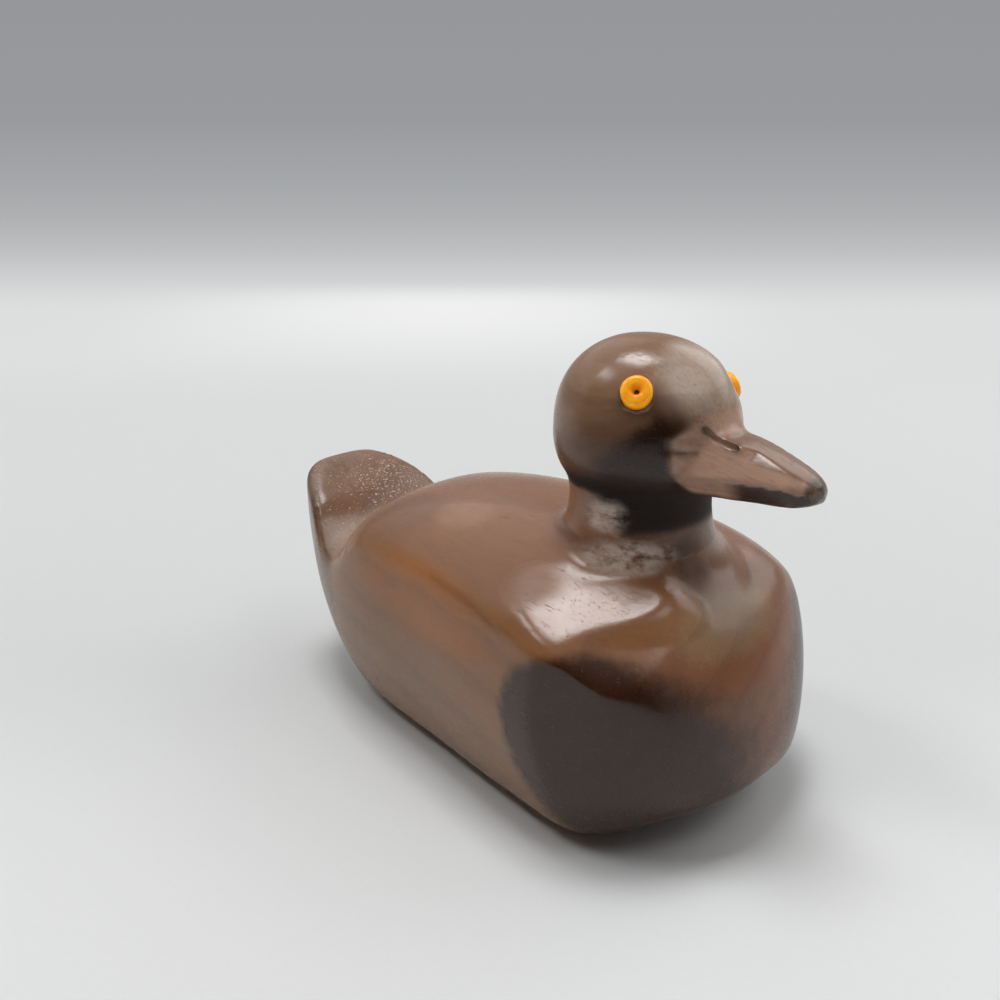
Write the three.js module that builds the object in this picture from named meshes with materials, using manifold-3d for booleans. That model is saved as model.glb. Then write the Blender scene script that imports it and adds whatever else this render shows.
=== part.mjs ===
// A small carved wooden duck. The pieces are a body block with a raised seat for the neck, a head
// with its neck and bill, the dowel between them, and two glass beads for eyes, each with a fine pin.
// Millimetres, +Z up, the bill points along -Y, and the origin is on the flat base of the body.
import * as THREE from 'three';
import { mergeVertices } from 'three/addons/utils/BufferGeometryUtils.js';
import Module from 'manifold-3d';

const wasm = await Module();
wasm.setup();

// Body: length, widths from breast to tail, and heights of its back above the base
const bodyLength = 92.8;
const breastAhead = 41.6;
const breastWidth = 52;
const shoulderWidth = 48.8;
const flankWidth = 43.1;
const rumpWidth = 38.4;
const tailRootWidth = 29.2;
const tailTipWidth = 15;
const breastTopHeight = 31.4;
const breastHeight = 34.5;
const shoulderHeight = 38.4;
const backHeight = 38.1;
const rumpHeight = 35.5;
const scoopHeight = 26.4;
const tailRiseHeight = 32.8;
const tailTipHeight = 36;

// Body: its underside, flat under the belly, and the height at which it is widest
const bellyEndUnderside = 1.2;
const tailRootUnderside = 9.9;
const tailTipUnderside = 26.6;
const breastPointHeight = 10.7;
const shoulderWaistHeight = 27;
const flankWaistHeight = 29;
const tailWaistHeight = 31.8;
const baseShare = 0.7;

// Head: the neck's axis ahead of the origin, the skull, and the bill measured from that axis
const neckAhead = 18.2;
const neckLength = 17.6;
const neckWidth = 21.6;
const neckFlare = 1.2;
const neckRise = 14;
const neckFootDepth = 8;
const neckSeatRise = 1.7;
const neckSeatSlope = 11;
const skullRise = 16.5;
const skullFront = 14;
const skullBack = 12;
const skullWidth = 25.4;
const skullHeight = 22.8;
const skullTaper = 0.19;
const headTilt = 6;
const billReach = 26.8;
const billRootInside = 7;
const billRootWidth = 15;
const billMiddleWidth = 11.4;
const billTipWidth = 7.2;
const billRootTop = 1.7;
const billMiddleTop = 0.3;
const billTipTop = -3.1;
const billRootBottom = -7.8;
const billTipBottom = -6.5;
const billCrownDrop = 0.4;
const billRidgeShare = 0.68;
const billFootShare = 0.7;
const billRootWidestShare = 0.12;
const billTipWidestShare = 0.6;

// Nostrils: a carved slot on each side of the bill, near its top
const nostrilAhead = 14.5;
const nostrilLength = 6.4;
const nostrilWidth = 1;
const nostrilDepth = 1.1;
const nostrilSlope = 17;
const nostrilLean = 40;
const nostrilOutShare = 0.7;
const nostrilDrop = 0.4;

// Eyes: glass beads let into shallow sockets, and the pins that hold them
const rightEyeAhead = 5.35;
const leftEyeAhead = 6.3;
const rightEyeRise = 4.7;
const leftEyeRise = 4.5;
const eyeForwardTurn = 30;
const eyeUpwardTilt = 25;
const beadDiameter = 4;
const beadLength = 2.4;
const beadHole = 1.1;
const beadInset = 1.1;
const socketDepth = 6;
const socketClearance = 0.15;
const socketFloorGap = 0.3;
const pinDiameter = 0.6;
const pinLength = 6;
const pinHoleClearance = 0.1;
const pinHoleEndGap = 0.5;
const pinBelowFace = 1;

// Neck joint: a dowel glued into a blind hole on each side
const dowelDiameter = 6;
const dowelLength = 22;
const dowelClearance = 0.1;
const dowelEndGap = 0.5;
const jointGap = 0.3;

// How square the rounded sections are: 2 is an ellipse, more is squarer
const breastFullness = 2.1;
const flankFullness = 2.35;
const tailRootFullness = 3;
const tailFullness = 3.8;
const undersideFullness = 2.3;
const tailUndersideFullness = 3;
const crownFullness = 2.1;
const cheekFullness = 2.9;
const skullPlanFullness = 2.2;
const beadFullness = 2.4;

// Counts of facets
const bodyRings = 40;
const quarterFacets = 9;
const headRings = 20;
const headFacets = 32;
const neckRings = 12;
const billRings = 12;
const billEdgeFacets = 3;
const roundFacets = 24;
const beadSectionFacets = 16;
const gougeFacets = 14;

// A smooth line through [station, value] points that never swings past them.
function lineThrough(points) {
  const runs = points.slice(1).map(([x], i) => x - points[i][0]);
  const slopes = points.slice(1).map(([, y], i) => (y - points[i][1]) / runs[i]);
  const tangents = points.map((_, i) => {
    if (i === 0) return slopes[0];
    if (i === runs.length) return slopes[i - 1];
    if (slopes[i - 1] * slopes[i] <= 0) return 0;
    const before = 2 * runs[i] + runs[i - 1];
    const after = runs[i] + 2 * runs[i - 1];
    return (before + after) / (before / slopes[i - 1] + after / slopes[i]);
  });
  return (station) => {
    let i = 0;
    while (i < runs.length - 1 && station > points[i + 1][0]) i += 1;
    const t = (station - points[i][0]) / runs[i];
    const [start, end] = [points[i][1], points[i + 1][1]];
    const ease = t * t * (3 - 2 * t);
    const leaving = runs[i] * tangents[i] * t * (1 - t) * (1 - t);
    const arriving = runs[i] * tangents[i + 1] * t * t * (t - 1);
    return start + (end - start) * ease + leaving + arriving;
  };
}

// One quarter of a rounded corner, from (1, 0) to (0, 1); a higher fullness is squarer.
function corner(angle, fullness) {
  const power = 2 / fullness;
  return [Math.max(Math.cos(angle), 0) ** power, Math.max(Math.sin(angle), 0) ** power];
}

// How far a rounded end has opened at a share of its length from the tip.
function endRound(share, fullness) {
  const s = THREE.MathUtils.clamp(1 - share, 0, 1);
  return (1 - s ** fullness) ** (1 / fullness);
}

// A closed skin over rings of points, drawn together to a point at each end.
function loft(rings, firstPole, lastPole) {
  const count = rings[0].length;
  const points = [firstPole, ...rings.flat(), lastPole];
  const last = points.length - 1;
  const faces = [];
  const at = (ring, i) => 1 + ring * count + (i % count);
  for (let i = 0; i < count; i += 1) {
    faces.push(0, at(0, i + 1), at(0, i));
    faces.push(last, at(rings.length - 1, i), at(rings.length - 1, i + 1));
    for (let ring = 0; ring < rings.length - 1; ring += 1) {
      faces.push(at(ring, i), at(ring, i + 1), at(ring + 1, i + 1));
      faces.push(at(ring, i), at(ring + 1, i + 1), at(ring + 1, i));
    }
  }
  const geometry = new THREE.BufferGeometry().setFromPoints(points);
  geometry.setIndex(faces);
  return geometry;
}

// Closed geometry as a solid that can be joined and cut, with its faces out.
function solid(geometry) {
  const bare = new THREE.BufferGeometry();
  bare.setAttribute('position', geometry.getAttribute('position').clone());
  bare.setIndex(geometry.index);
  const merged = mergeVertices(bare, 1e-4);
  const triVerts = new Uint32Array(merged.index.array);
  const vertProperties = new Float32Array(merged.attributes.position.array);
  const made = new wasm.Manifold(new wasm.Mesh({ numProp: 3, vertProperties, triVerts }));
  if (made.volume() > 0) return made;
  const turned = triVerts.slice();
  for (let i = 0; i < turned.length; i += 3) {
    [turned[i + 1], turned[i + 2]] = [turned[i + 2], turned[i + 1]];
  }
  return new wasm.Manifold(new wasm.Mesh({ numProp: 3, vertProperties, triVerts: turned }));
}

function geometryOf(made) {
  const mesh = made.getMesh();
  const geometry = new THREE.BufferGeometry();
  geometry.setAttribute('position', new THREE.BufferAttribute(mesh.vertProperties, 3));
  geometry.setIndex(new THREE.BufferAttribute(mesh.triVerts, 1));
  geometry.computeVertexNormals();
  return geometry;
}

function namedMesh(name, geometry, colour, roughness, metalness = 0) {
  const material = new THREE.MeshStandardMaterial({ color: colour, roughness, metalness });
  const mesh = new THREE.Mesh(geometry, material);
  mesh.name = name;
  return mesh;
}

// The body's lines, by share of its length from the breast back
const breastShare = 0.15;
const shoulderShare = 0.33;
const flankShare = 0.52;
const rumpShare = 0.7;
const scoopShare = 0.8;
const tailRootShare = 0.86;
const tailRiseShare = 0.9;
const breastNarrowing = 0.95;

const planLine = lineThrough([
  [0, breastWidth * breastNarrowing],
  [breastShare, breastWidth],
  [shoulderShare, shoulderWidth],
  [flankShare, flankWidth],
  [rumpShare, rumpWidth],
  [tailRootShare, tailRootWidth],
  [1, tailTipWidth],
]);
const backLine = lineThrough([
  [0, breastTopHeight],
  [breastShare, breastHeight],
  [shoulderShare, shoulderHeight],
  [flankShare, backHeight],
  [rumpShare, rumpHeight],
  [scoopShare, scoopHeight],
  [tailRiseShare, tailRiseHeight],
  [1, tailTipHeight],
]);
const keelLine = lineThrough([
  [0, 0],
  [flankShare, 0],
  [rumpShare, bellyEndUnderside],
  [tailRootShare, tailRootUnderside],
  [1, tailTipUnderside],
]);
const waistLine = lineThrough([
  [0, breastPointHeight],
  [breastShare, shoulderWaistHeight],
  [flankShare, flankWaistHeight],
  [1, tailWaistHeight],
]);
const upperFullness = lineThrough([
  [0, breastFullness],
  [breastShare, breastFullness],
  [rumpShare, flankFullness],
  [tailRootShare, tailRootFullness],
  [1, tailFullness],
]);
const lowerFullness = lineThrough([
  [0, undersideFullness],
  [rumpShare, undersideFullness],
  [1, tailUndersideFullness],
]);

// One section across the body: a full upper half, a rounder lower half and a flat bottom.
function bodyRing(station) {
  const breastRoundShare = 0.22;
  const breastEndFullness = 2;
  const tailRoundShare = 0.06;
  const tailEndFullness = 2.9;
  const leastQuarter = 0.25;
  const open = Math.min(
    endRound(station / breastRoundShare, breastEndFullness),
    endRound((1 - station) / tailRoundShare, tailEndFullness),
  );
  const keel = keelLine(station);
  const back = backLine(station);
  const margin = leastQuarter * (back - keel);
  const waist = THREE.MathUtils.clamp(waistLine(station), keel + margin, back - margin);
  const half = (planLine(station) / 2) * open;
  const rise = (back - waist) * open;
  const drop = (waist - keel) * open;
  const y = station * bodyLength - breastAhead;
  const side = [];
  for (let i = 0; i <= quarterFacets; i += 1) {
    const [out, up] = corner((i / quarterFacets) * (Math.PI / 2), upperFullness(station));
    side.push(new THREE.Vector2(half * out, waist + rise * up));
  }
  for (let i = 1; i <= quarterFacets; i += 1) {
    const [out, down] = corner((i / quarterFacets) * (Math.PI / 2), lowerFullness(station));
    const x = half * (baseShare + (1 - baseShare) * out);
    side.unshift(new THREE.Vector2(x, waist - drop * down));
  }
  const right = side.map((p) => new THREE.Vector3(p.x, y, p.y));
  const left = side.slice(0, -1).reverse().map((p) => new THREE.Vector3(-p.x, y, p.y));
  return [...right, ...left];
}

// A step from 0 to 1 that is short at both ends, so rings crowd where a shape closes.
function crowded(step, count) {
  return 0.5 - 0.5 * Math.cos((Math.PI * step) / count);
}

function bodyBlock() {
  const rings = [];
  for (let i = 1; i < bodyRings; i += 1) rings.push(bodyRing(crowded(i, bodyRings)));
  const breastTip = new THREE.Vector3(0, -breastAhead, breastPointHeight);
  const tailEnd = new THREE.Vector3(0, bodyLength - breastAhead, tailWaistHeight);
  return solid(loft(rings, breastTip, tailEnd));
}

// Heights that the head and its joint take from the body
const seatHeight = backLine((breastAhead - neckAhead) / bodyLength);
const skullCentre = seatHeight + skullRise;

// Places on the neck: ahead of its axis, out to the left, and up from the base.
function neckPoint(ahead, out, height) {
  return new THREE.Vector3(out, -neckAhead - ahead, height);
}

// The head leans over to its left, about a line through the skull's centre.
const lean = new THREE.Matrix4()
  .makeTranslation(0, -neckAhead, skullCentre)
  .multiply(new THREE.Matrix4().makeRotationY(THREE.MathUtils.degToRad(headTilt)));

// Places on the head: ahead of the skull's centre, out to the left, and up from it.
function headPoint(ahead, out, rise) {
  return new THREE.Vector3(out, -ahead, rise).applyMatrix4(lean);
}

// A ring of places about the neck's axis, as long and wide as the shape given for each turn.
function headRing(shape) {
  return Array.from({ length: headFacets }, (_, k) => shape((k / headFacets) * 2 * Math.PI));
}

// A value that swings from -1 to 1 like a cosine or sine, on a rounded square.
function squared(value, fullness) {
  return Math.sign(value) * Math.abs(value) ** (2 / fullness);
}

function skull() {
  const rings = [];
  for (let i = 1; i < headRings; i += 1) {
    const tilt = Math.PI * (i / headRings - 0.5);
    const reach = Math.cos(tilt) ** (2 / skullPlanFullness);
    const lift = squared(Math.sin(tilt), tilt > 0 ? crownFullness : cheekFullness);
    rings.push(headRing((turn) => {
      const forward = Math.cos(turn);
      const length = forward > 0 ? skullFront : skullBack;
      const narrowing = 1 - skullTaper * Math.max(forward, 0);
      const out = (skullWidth / 2) * Math.sin(turn) * narrowing * reach;
      return headPoint(length * forward * reach, out, (skullHeight / 2) * lift);
    }));
  }
  return solid(loft(rings, headPoint(0, 0, -skullHeight / 2), headPoint(0, 0, skullHeight / 2)));
}

// The neck widens downwards into a foot. The foot belongs to the body, up to a sloping seat.
function neck() {
  const rings = [];
  const flareFullness = 3.2;
  const bottom = seatHeight - neckFootDepth;
  const top = seatHeight + neckRise;
  for (let i = 0; i <= neckRings; i += 1) {
    const height = bottom + ((top - bottom) * i) / neckRings;
    const flare = neckFlare * ((top - height) / neckRise) ** flareFullness;
    rings.push(headRing((turn) => {
      const ahead = (neckLength / 2 + flare) * Math.cos(turn);
      const out = (neckWidth / 2 + flare) * Math.sin(turn);
      return neckPoint(ahead, out, height);
    }));
  }
  return solid(loft(rings, neckPoint(0, 0, bottom), neckPoint(0, 0, top)));
}

// The bill's lines, by share of its length from inside the skull to its tip
const billMiddleShare = 0.45;
const billWidthLine = lineThrough([
  [0, billRootWidth], [billMiddleShare, billMiddleWidth], [1, billTipWidth],
]);
const billTopLine = lineThrough([
  [0, billRootTop], [billMiddleShare, billMiddleTop], [1, billTipTop],
]);
const billBottomLine = lineThrough([[0, billRootBottom], [1, billTipBottom]]);

// One carved section of the bill: a top plane, a side plane that leans out, and a bevel under it.
function billRing(share) {
  const tipRoundShare = 0.2;
  const tipFullness = 2.2;
  const tipBluntness = 0.6;
  const open = endRound((1 - share) / tipRoundShare, tipFullness);
  const top = billTopLine(share);
  const bottom = billBottomLine(share);
  const widest = (billWidthLine(share) / 2) * open;
  const edge = THREE.MathUtils.lerp(billRootWidestShare, billTipWidestShare, share);
  const corners = [
    [0, top],
    [widest * billRidgeShare, top - billCrownDrop],
    [widest, THREE.MathUtils.lerp(bottom, top, edge)],
    [widest * billFootShare, bottom],
    [0, bottom],
  ];
  const middle = (top + bottom) / 2;
  const ahead = THREE.MathUtils.lerp(billRootInside, billReach, share);
  const place = ([out, rise], side) => (
    headPoint(ahead, side * out, middle + (rise - middle) * open ** tipBluntness)
  );
  const half = [];
  for (let i = 1; i < corners.length; i += 1) {
    for (let k = 0; k < billEdgeFacets; k += 1) {
      const along = (which) => (
        THREE.MathUtils.lerp(corners[i - 1][which], corners[i][which], k / billEdgeFacets)
      );
      half.push([along(0), along(1)]);
    }
  }
  const under = corners[corners.length - 1];
  const left = half.map((point) => place(point, 1));
  const right = half.slice(1).reverse().map((point) => place(point, -1));
  return [...left, place(under, 1), ...right];
}

function bill() {
  const rings = [];
  const tipCrowding = 1.6;
  const middle = (share) => (billTopLine(share) + billBottomLine(share)) / 2;
  for (let i = 0; i < billRings; i += 1) {
    rings.push(billRing(1 - (1 - i / billRings) ** tipCrowding));
  }
  const root = headPoint(billRootInside, 0, middle(0));
  return solid(loft(rings, root, headPoint(billReach, 0, middle(1))));
}

// A lens-shaped gouge near the bill's top, on the side given by 1 or -1.
function nostril(side) {
  const share = (nostrilAhead - billRootInside) / (billReach - billRootInside);
  const out = (billWidthLine(share) / 2) * nostrilOutShare;
  const rise = billTopLine(share) - nostrilDrop;
  const gouge = new THREE.SphereGeometry(1, gougeFacets, gougeFacets);
  gouge.scale(nostrilDepth, nostrilLength / 2, nostrilWidth / 2);
  gouge.rotateX(THREE.MathUtils.degToRad(nostrilSlope));
  gouge.rotateY(THREE.MathUtils.degToRad(-side * nostrilLean));
  gouge.translate(side * out, -nostrilAhead, rise).applyMatrix4(lean);
  return solid(gouge);
}

// An upright rod or hole on the neck's axis.
function upright(diameter, bottom, top) {
  const rod = new THREE.CylinderGeometry(diameter / 2, diameter / 2, top - bottom, roundFacets);
  rod.rotateX(Math.PI / 2);
  return rod.translate(0, -neckAhead, (top + bottom) / 2);
}

// Half the skull's width at a place ahead of the neck's axis and above the skull's centre.
function skullSide(ahead, rise) {
  const level = rise / (skullHeight / 2);
  const reach = (1 - level ** crownFullness) ** (1 / skullPlanFullness);
  const forward = ahead / (skullFront * reach);
  return (skullWidth / 2) * Math.sqrt(1 - forward ** 2) * reach * (1 - skullTaper * forward);
}

// Each eye's place on the skin of the head and the way it looks.
function eyeSeat(side, ahead, rise) {
  const turn = THREE.MathUtils.degToRad(eyeForwardTurn);
  const tilt = THREE.MathUtils.degToRad(eyeUpwardTilt);
  const gaze = new THREE.Vector3(
    side * Math.cos(tilt) * Math.cos(turn), -Math.cos(tilt) * Math.sin(turn), Math.sin(tilt),
  );
  gaze.transformDirection(lean);
  const skin = headPoint(ahead, side * skullSide(ahead, rise), rise);
  return { skin, gaze };
}

// Turns a shape made along +Y to lie along the eye's gaze, at a distance out from the skin.
function alongGaze(geometry, seat, distance) {
  const turn = new THREE.Quaternion().setFromUnitVectors(new THREE.Vector3(0, 1, 0), seat.gaze);
  const place = seat.skin.clone().addScaledVector(seat.gaze, distance);
  return geometry.applyQuaternion(turn).translate(place.x, place.y, place.z);
}

function rod(diameter, length) {
  return new THREE.CylinderGeometry(diameter / 2, diameter / 2, length, roundFacets);
}

// A round-shouldered glass ring: its section is a rounded box swept about the hole.
function beadRing() {
  const profile = [];
  const inner = beadHole / 2;
  const middle = (beadDiameter / 2 + inner) / 2;
  const half = (beadDiameter / 2 - inner) / 2;
  for (let i = 0; i <= beadSectionFacets; i += 1) {
    const turn = (i / beadSectionFacets) * 2 * Math.PI;
    const x = middle + half * squared(Math.cos(turn), beadFullness);
    const y = (beadLength / 2) * squared(Math.sin(turn), beadFullness);
    profile.push(new THREE.Vector2(x, y));
  }
  profile[beadSectionFacets] = profile[0].clone();
  return new THREE.LatheGeometry(profile, roundFacets);
}

const eyes = [
  { name: 'right', side: -1, ahead: rightEyeAhead, rise: rightEyeRise },
  { name: 'left', side: 1, ahead: leftEyeAhead, rise: leftEyeRise },
].map((eye) => ({ ...eye, seat: eyeSeat(eye.side, eye.ahead, eye.rise) }));

// Distances out from the skin along the gaze
const beadMiddle = beadLength / 2 - beadInset;
const socketFloor = beadMiddle - beadLength / 2 - socketFloorGap;
const pinOuterEnd = beadMiddle + beadLength / 2 - pinBelowFace;
const pinMiddle = pinOuterEnd - pinLength / 2;

// All that lies above the neck's seat, which slopes down ahead, from a gap over it.
function aboveSeat(gap) {
  const spread = 2 * bodyLength;
  const space = new THREE.BoxGeometry(spread, spread, spread);
  space.translate(0, 0, spread / 2 + gap);
  space.rotateX(THREE.MathUtils.degToRad(neckSeatSlope));
  return solid(space.translate(0, -neckAhead, seatHeight + neckSeatRise));
}

function carvedBody() {
  const holeFloor = seatHeight - dowelLength / 2 - dowelEndGap;
  const hole = upright(dowelDiameter + 2 * dowelClearance, holeFloor, seatHeight + dowelLength);
  return bodyBlock().add(neck().subtract(aboveSeat(0))).subtract(solid(hole));
}

function carvedHead() {
  let head = skull().add(neck()).add(bill()).intersect(aboveSeat(jointGap));
  for (const side of [1, -1]) {
    head = head.subtract(nostril(side));
  }
  for (const { seat } of eyes) {
    const socket = rod(beadDiameter + 2 * socketClearance, socketDepth);
    const pinHoleLength = pinLength + 2 * pinHoleEndGap;
    const pinHole = rod(pinDiameter + 2 * pinHoleClearance, pinHoleLength);
    head = head.subtract(solid(alongGaze(socket, seat, socketFloor + socketDepth / 2)));
    head = head.subtract(solid(alongGaze(pinHole, seat, pinMiddle)));
  }
  const holeTop = seatHeight + dowelLength / 2 + dowelEndGap;
  const dowelHole = upright(dowelDiameter + 2 * dowelClearance, 0, holeTop);
  return head.subtract(solid(dowelHole));
}

const dowel = upright(dowelDiameter, seatHeight - dowelLength / 2, seatHeight + dowelLength / 2);

const duck = new THREE.Group();
duck.add(namedMesh('body', geometryOf(carvedBody()), 0x5a3a26, 0.35));
duck.add(namedMesh('head', geometryOf(carvedHead()), 0x4a2f22, 0.35));
duck.add(namedMesh('neck_dowel', geometryOf(solid(dowel)), 0xb98d5c, 0.7));
for (const { name, seat } of eyes) {
  const bead = alongGaze(beadRing(), seat, beadMiddle);
  const pin = alongGaze(rod(pinDiameter, pinLength), seat, pinMiddle);
  duck.add(namedMesh(`${name}_eye_bead`, geometryOf(solid(bead)), 0xf29a1f, 0.15));
  duck.add(namedMesh(`${name}_eye_pin`, geometryOf(solid(pin)), 0x6b5a48, 0.4, 0.8));
}

export default duck;
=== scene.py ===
import math

import bpy
import numpy as np
from mathutils import Matrix, Vector
from mathutils import noise as mathnoise


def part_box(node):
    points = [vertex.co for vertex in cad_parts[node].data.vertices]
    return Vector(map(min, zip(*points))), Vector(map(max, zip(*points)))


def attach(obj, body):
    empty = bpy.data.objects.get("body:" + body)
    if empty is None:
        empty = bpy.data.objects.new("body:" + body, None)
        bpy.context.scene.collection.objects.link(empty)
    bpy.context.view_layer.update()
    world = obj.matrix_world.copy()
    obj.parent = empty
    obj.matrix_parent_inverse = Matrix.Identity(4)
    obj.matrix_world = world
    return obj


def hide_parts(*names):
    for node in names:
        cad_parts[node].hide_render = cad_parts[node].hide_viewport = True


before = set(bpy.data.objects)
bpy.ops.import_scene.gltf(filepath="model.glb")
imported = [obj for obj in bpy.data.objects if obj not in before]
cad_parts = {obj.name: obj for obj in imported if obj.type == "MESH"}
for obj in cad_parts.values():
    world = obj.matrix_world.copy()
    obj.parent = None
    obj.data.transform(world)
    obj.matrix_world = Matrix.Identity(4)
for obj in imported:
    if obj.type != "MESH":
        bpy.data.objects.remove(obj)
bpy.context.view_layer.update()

# The carved blank: body and head are cut from one dark close-grained wood and shaped together, so that
# the neck flows into the shoulders. Here both are brought together, their holes are closed, and the
# skin is made fine enough to carve. Sizes are in millimetres.
MM = 0.001
NECK_AHEAD = 18.2
SEAT_HEIGHT = 38.97
SEAT_SLOPE = math.radians(11)
SEAT_GAP_MIDDLE = 0.15
SEAT_FILL_DEPTH = 0.9
NECK_HALF_WIDTH = 11.5
NECK_HALF_LENGTH = 9.6
DOWEL_RADIUS = 3.1
HEAD_TILT = math.radians(6)
SKULL_CENTRE = Vector((0, -NECK_AHEAD, 53.77))
GAZE_TURN = math.radians(30)
GAZE_LIFT = math.radians(25)
SOCKET_RADIUS = 2.15
EYE_HOLE_REACH = 8
NOSTRIL_SIZE = Vector((1.1, 3.2, 0.5))
NOSTRIL_OUT = 4.45
NOSTRIL_AHEAD = 14.5
NOSTRIL_RISE = 0.9
NOSTRIL_LEAN = math.radians(40)
NOSTRIL_DIP = math.radians(17)
NOSTRIL_MARGIN = 1.12
HOLE_SLACK = 0.01
SKIN_GRID = 0.42

HEAD_FRAME = Matrix.Translation(SKULL_CENTRE) @ Matrix.Rotation(HEAD_TILT, 4, "Y")


def select_only(piece):
    """Leaves one piece selected and active."""
    bpy.ops.object.select_all(action="DESELECT")
    piece.select_set(True)
    bpy.context.view_layer.objects.active = piece


def shape_with(piece, kind, **settings):
    """Adds one modifier to a piece and applies it."""
    select_only(piece)
    modifier = piece.modifiers.new(kind.lower(), kind)
    for key, value in settings.items():
        setattr(modifier, key, value)
    bpy.ops.object.modifier_apply(modifier=modifier.name)


def points_of(piece):
    """The places of a piece's vertices, in millimetres."""
    flat = np.empty(len(piece.data.vertices) * 3, np.float32)
    piece.data.vertices.foreach_get("co", flat)
    return flat.reshape(-1, 3).astype(float) / MM


def place_points(piece, points):
    """Moves a piece's vertices to places in millimetres."""
    piece.data.vertices.foreach_set("co", (points * MM).astype(np.float32).ravel())
    piece.data.update()


def closed_copy(node, hole_tests):
    """A joined-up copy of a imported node, with the holes that the tests find filled level."""
    piece = bpy.data.objects.new(node + "_blank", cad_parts[node].data.copy())
    bpy.context.collection.objects.link(piece)
    piece.data.materials.clear()
    select_only(piece)
    bpy.ops.object.mode_set(mode="EDIT")
    bpy.ops.mesh.select_all(action="SELECT")
    bpy.ops.mesh.remove_doubles(threshold=0.002 * MM)
    bpy.ops.mesh.select_all(action="DESELECT")
    bpy.ops.object.mode_set(mode="OBJECT")
    inside = [np.array([test(Vector(p)) for p in points_of(piece)]) for test in hole_tests]
    for face in piece.data.polygons:
        corners = list(face.vertices)
        face.select = any(hole[corners].all() for hole in inside)
    bpy.ops.object.mode_set(mode="EDIT")
    bpy.ops.mesh.select_mode(type="FACE")
    bpy.ops.mesh.delete(type="FACE")
    bpy.ops.mesh.select_all(action="SELECT")
    bpy.ops.mesh.fill_holes(sides=0)
    bpy.ops.mesh.select_mode(type="VERT")
    bpy.ops.object.mode_set(mode="OBJECT")
    return piece


def gaze(side):
    """The way an eye looks."""
    level = math.cos(GAZE_LIFT)
    way = Vector((side * level * math.cos(GAZE_TURN), -level * math.sin(GAZE_TURN), math.sin(GAZE_LIFT)))
    return (HEAD_FRAME.to_3x3() @ way).normalized()


def bead_centre(side):
    """The middle of an eye's bead."""
    low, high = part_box("right_eye_bead" if side < 0 else "left_eye_bead")
    return (low + high) / 2 / MM


def in_dowel_hole(p):
    """Says whether a place is inside the dowel's hole."""
    return math.hypot(p.x, p.y + NECK_AHEAD) < DOWEL_RADIUS + HOLE_SLACK


def in_socket(side):
    """A test for the places inside an eye's socket and its pin hole."""
    centre = bead_centre(side)
    axis = gaze(side)

    def test(p):
        along = (p - centre).dot(axis)
        off_axis = (p - centre - axis * along).length
        return abs(along) < EYE_HOLE_REACH and off_axis < SOCKET_RADIUS + HOLE_SLACK
    return test


def in_nostril(side):
    """A test for the places inside a nostril."""
    place = Matrix.Translation(Vector((side * NOSTRIL_OUT, -NOSTRIL_AHEAD, NOSTRIL_RISE)))
    turn = Matrix.Rotation(-side * NOSTRIL_LEAN, 4, "Y") @ Matrix.Rotation(NOSTRIL_DIP, 4, "X")
    back = (HEAD_FRAME @ place @ turn).inverted()

    def test(p):
        q = back @ p
        shares = Vector((q.x / NOSTRIL_SIZE.x, q.y / NOSTRIL_SIZE.y, q.z / NOSTRIL_SIZE.z))
        return shares.length < NOSTRIL_MARGIN
    return test


body_blank = closed_copy("body", [in_dowel_hole])
head_blank = closed_copy(
    "head", [in_dowel_hole, in_socket(-1), in_socket(1), in_nostril(-1), in_nostril(1)]
)

bpy.ops.object.select_all(action="DESELECT")
bpy.ops.mesh.primitive_cylinder_add(vertices=96, radius=MM, depth=SEAT_FILL_DEPTH * MM, location=(0, 0, 0))
joint_fill = bpy.context.object
joint_fill.data.transform(
    Matrix.Translation(Vector((0, -NECK_AHEAD, SEAT_HEIGHT + SEAT_GAP_MIDDLE)) * MM)
    @ Matrix.Rotation(SEAT_SLOPE, 4, "X")
    @ Matrix.Diagonal(Vector((NECK_HALF_WIDTH, NECK_HALF_LENGTH, 1, 1)))
)
bpy.ops.object.select_all(action="DESELECT")
for part in (joint_fill, head_blank, body_blank):
    part.select_set(True)
bpy.context.view_layer.objects.active = body_blank
bpy.ops.object.join()
blank = body_blank
blank.name = "duck_blank"
shape_with(blank, "REMESH", mode="VOXEL", voxel_size=SKIN_GRID * MM, adaptivity=0.0)

# The sanded skin: the whole duck is evened out with fine paper, and only the bill's edges and the
# tail's rim stay firm. Then the hollows where neck meets shoulders and skull are rounded out.
SANDING_ROUNDS = 30
FIRM_SHARE = 0.85
FOOT_PASSES = 7
BROW_PASSES = 4
FRONT_PASSES = 5


def fade(values, start, end):
    """0 before start, 1 after end, and a smooth change between."""
    t = np.clip((values - start) / (end - start), 0, 1)
    return t * t * (3 - 2 * t)


def between(values, rise, full, fall, gone):
    """0 before rise, 1 from full to fall, and 0 again once gone."""
    return fade(values, rise, full) * (1 - fade(values, fall, gone))


def sand(piece, weights):
    """Evens out a piece's skin, more where the weight is high."""
    group = piece.vertex_groups.new(name="softened")
    for level in range(1, 11):
        chosen = np.nonzero(np.round(weights * 10) == level)[0]
        group.add([int(i) for i in chosen], level / 10, "REPLACE")
    shape_with(piece, "SMOOTH", factor=0.5, iterations=SANDING_ROUNDS, vertex_group=group.name)
    piece.vertex_groups.clear()


x, y, z = points_of(blank).T
on_bill = fade(-y, 25.5, 28) * fade(z, 43, 45) * (1 - fade(z, 53.5, 55.5))
on_bill = np.maximum(on_bill, fade(-y, 33, 35) * fade(z, 43, 45))
firm = np.clip(on_bill + fade(y, 34, 40), 0, 1)
sand(blank, 1 - FIRM_SHARE * firm)
sand(blank, 1 - firm)

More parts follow.
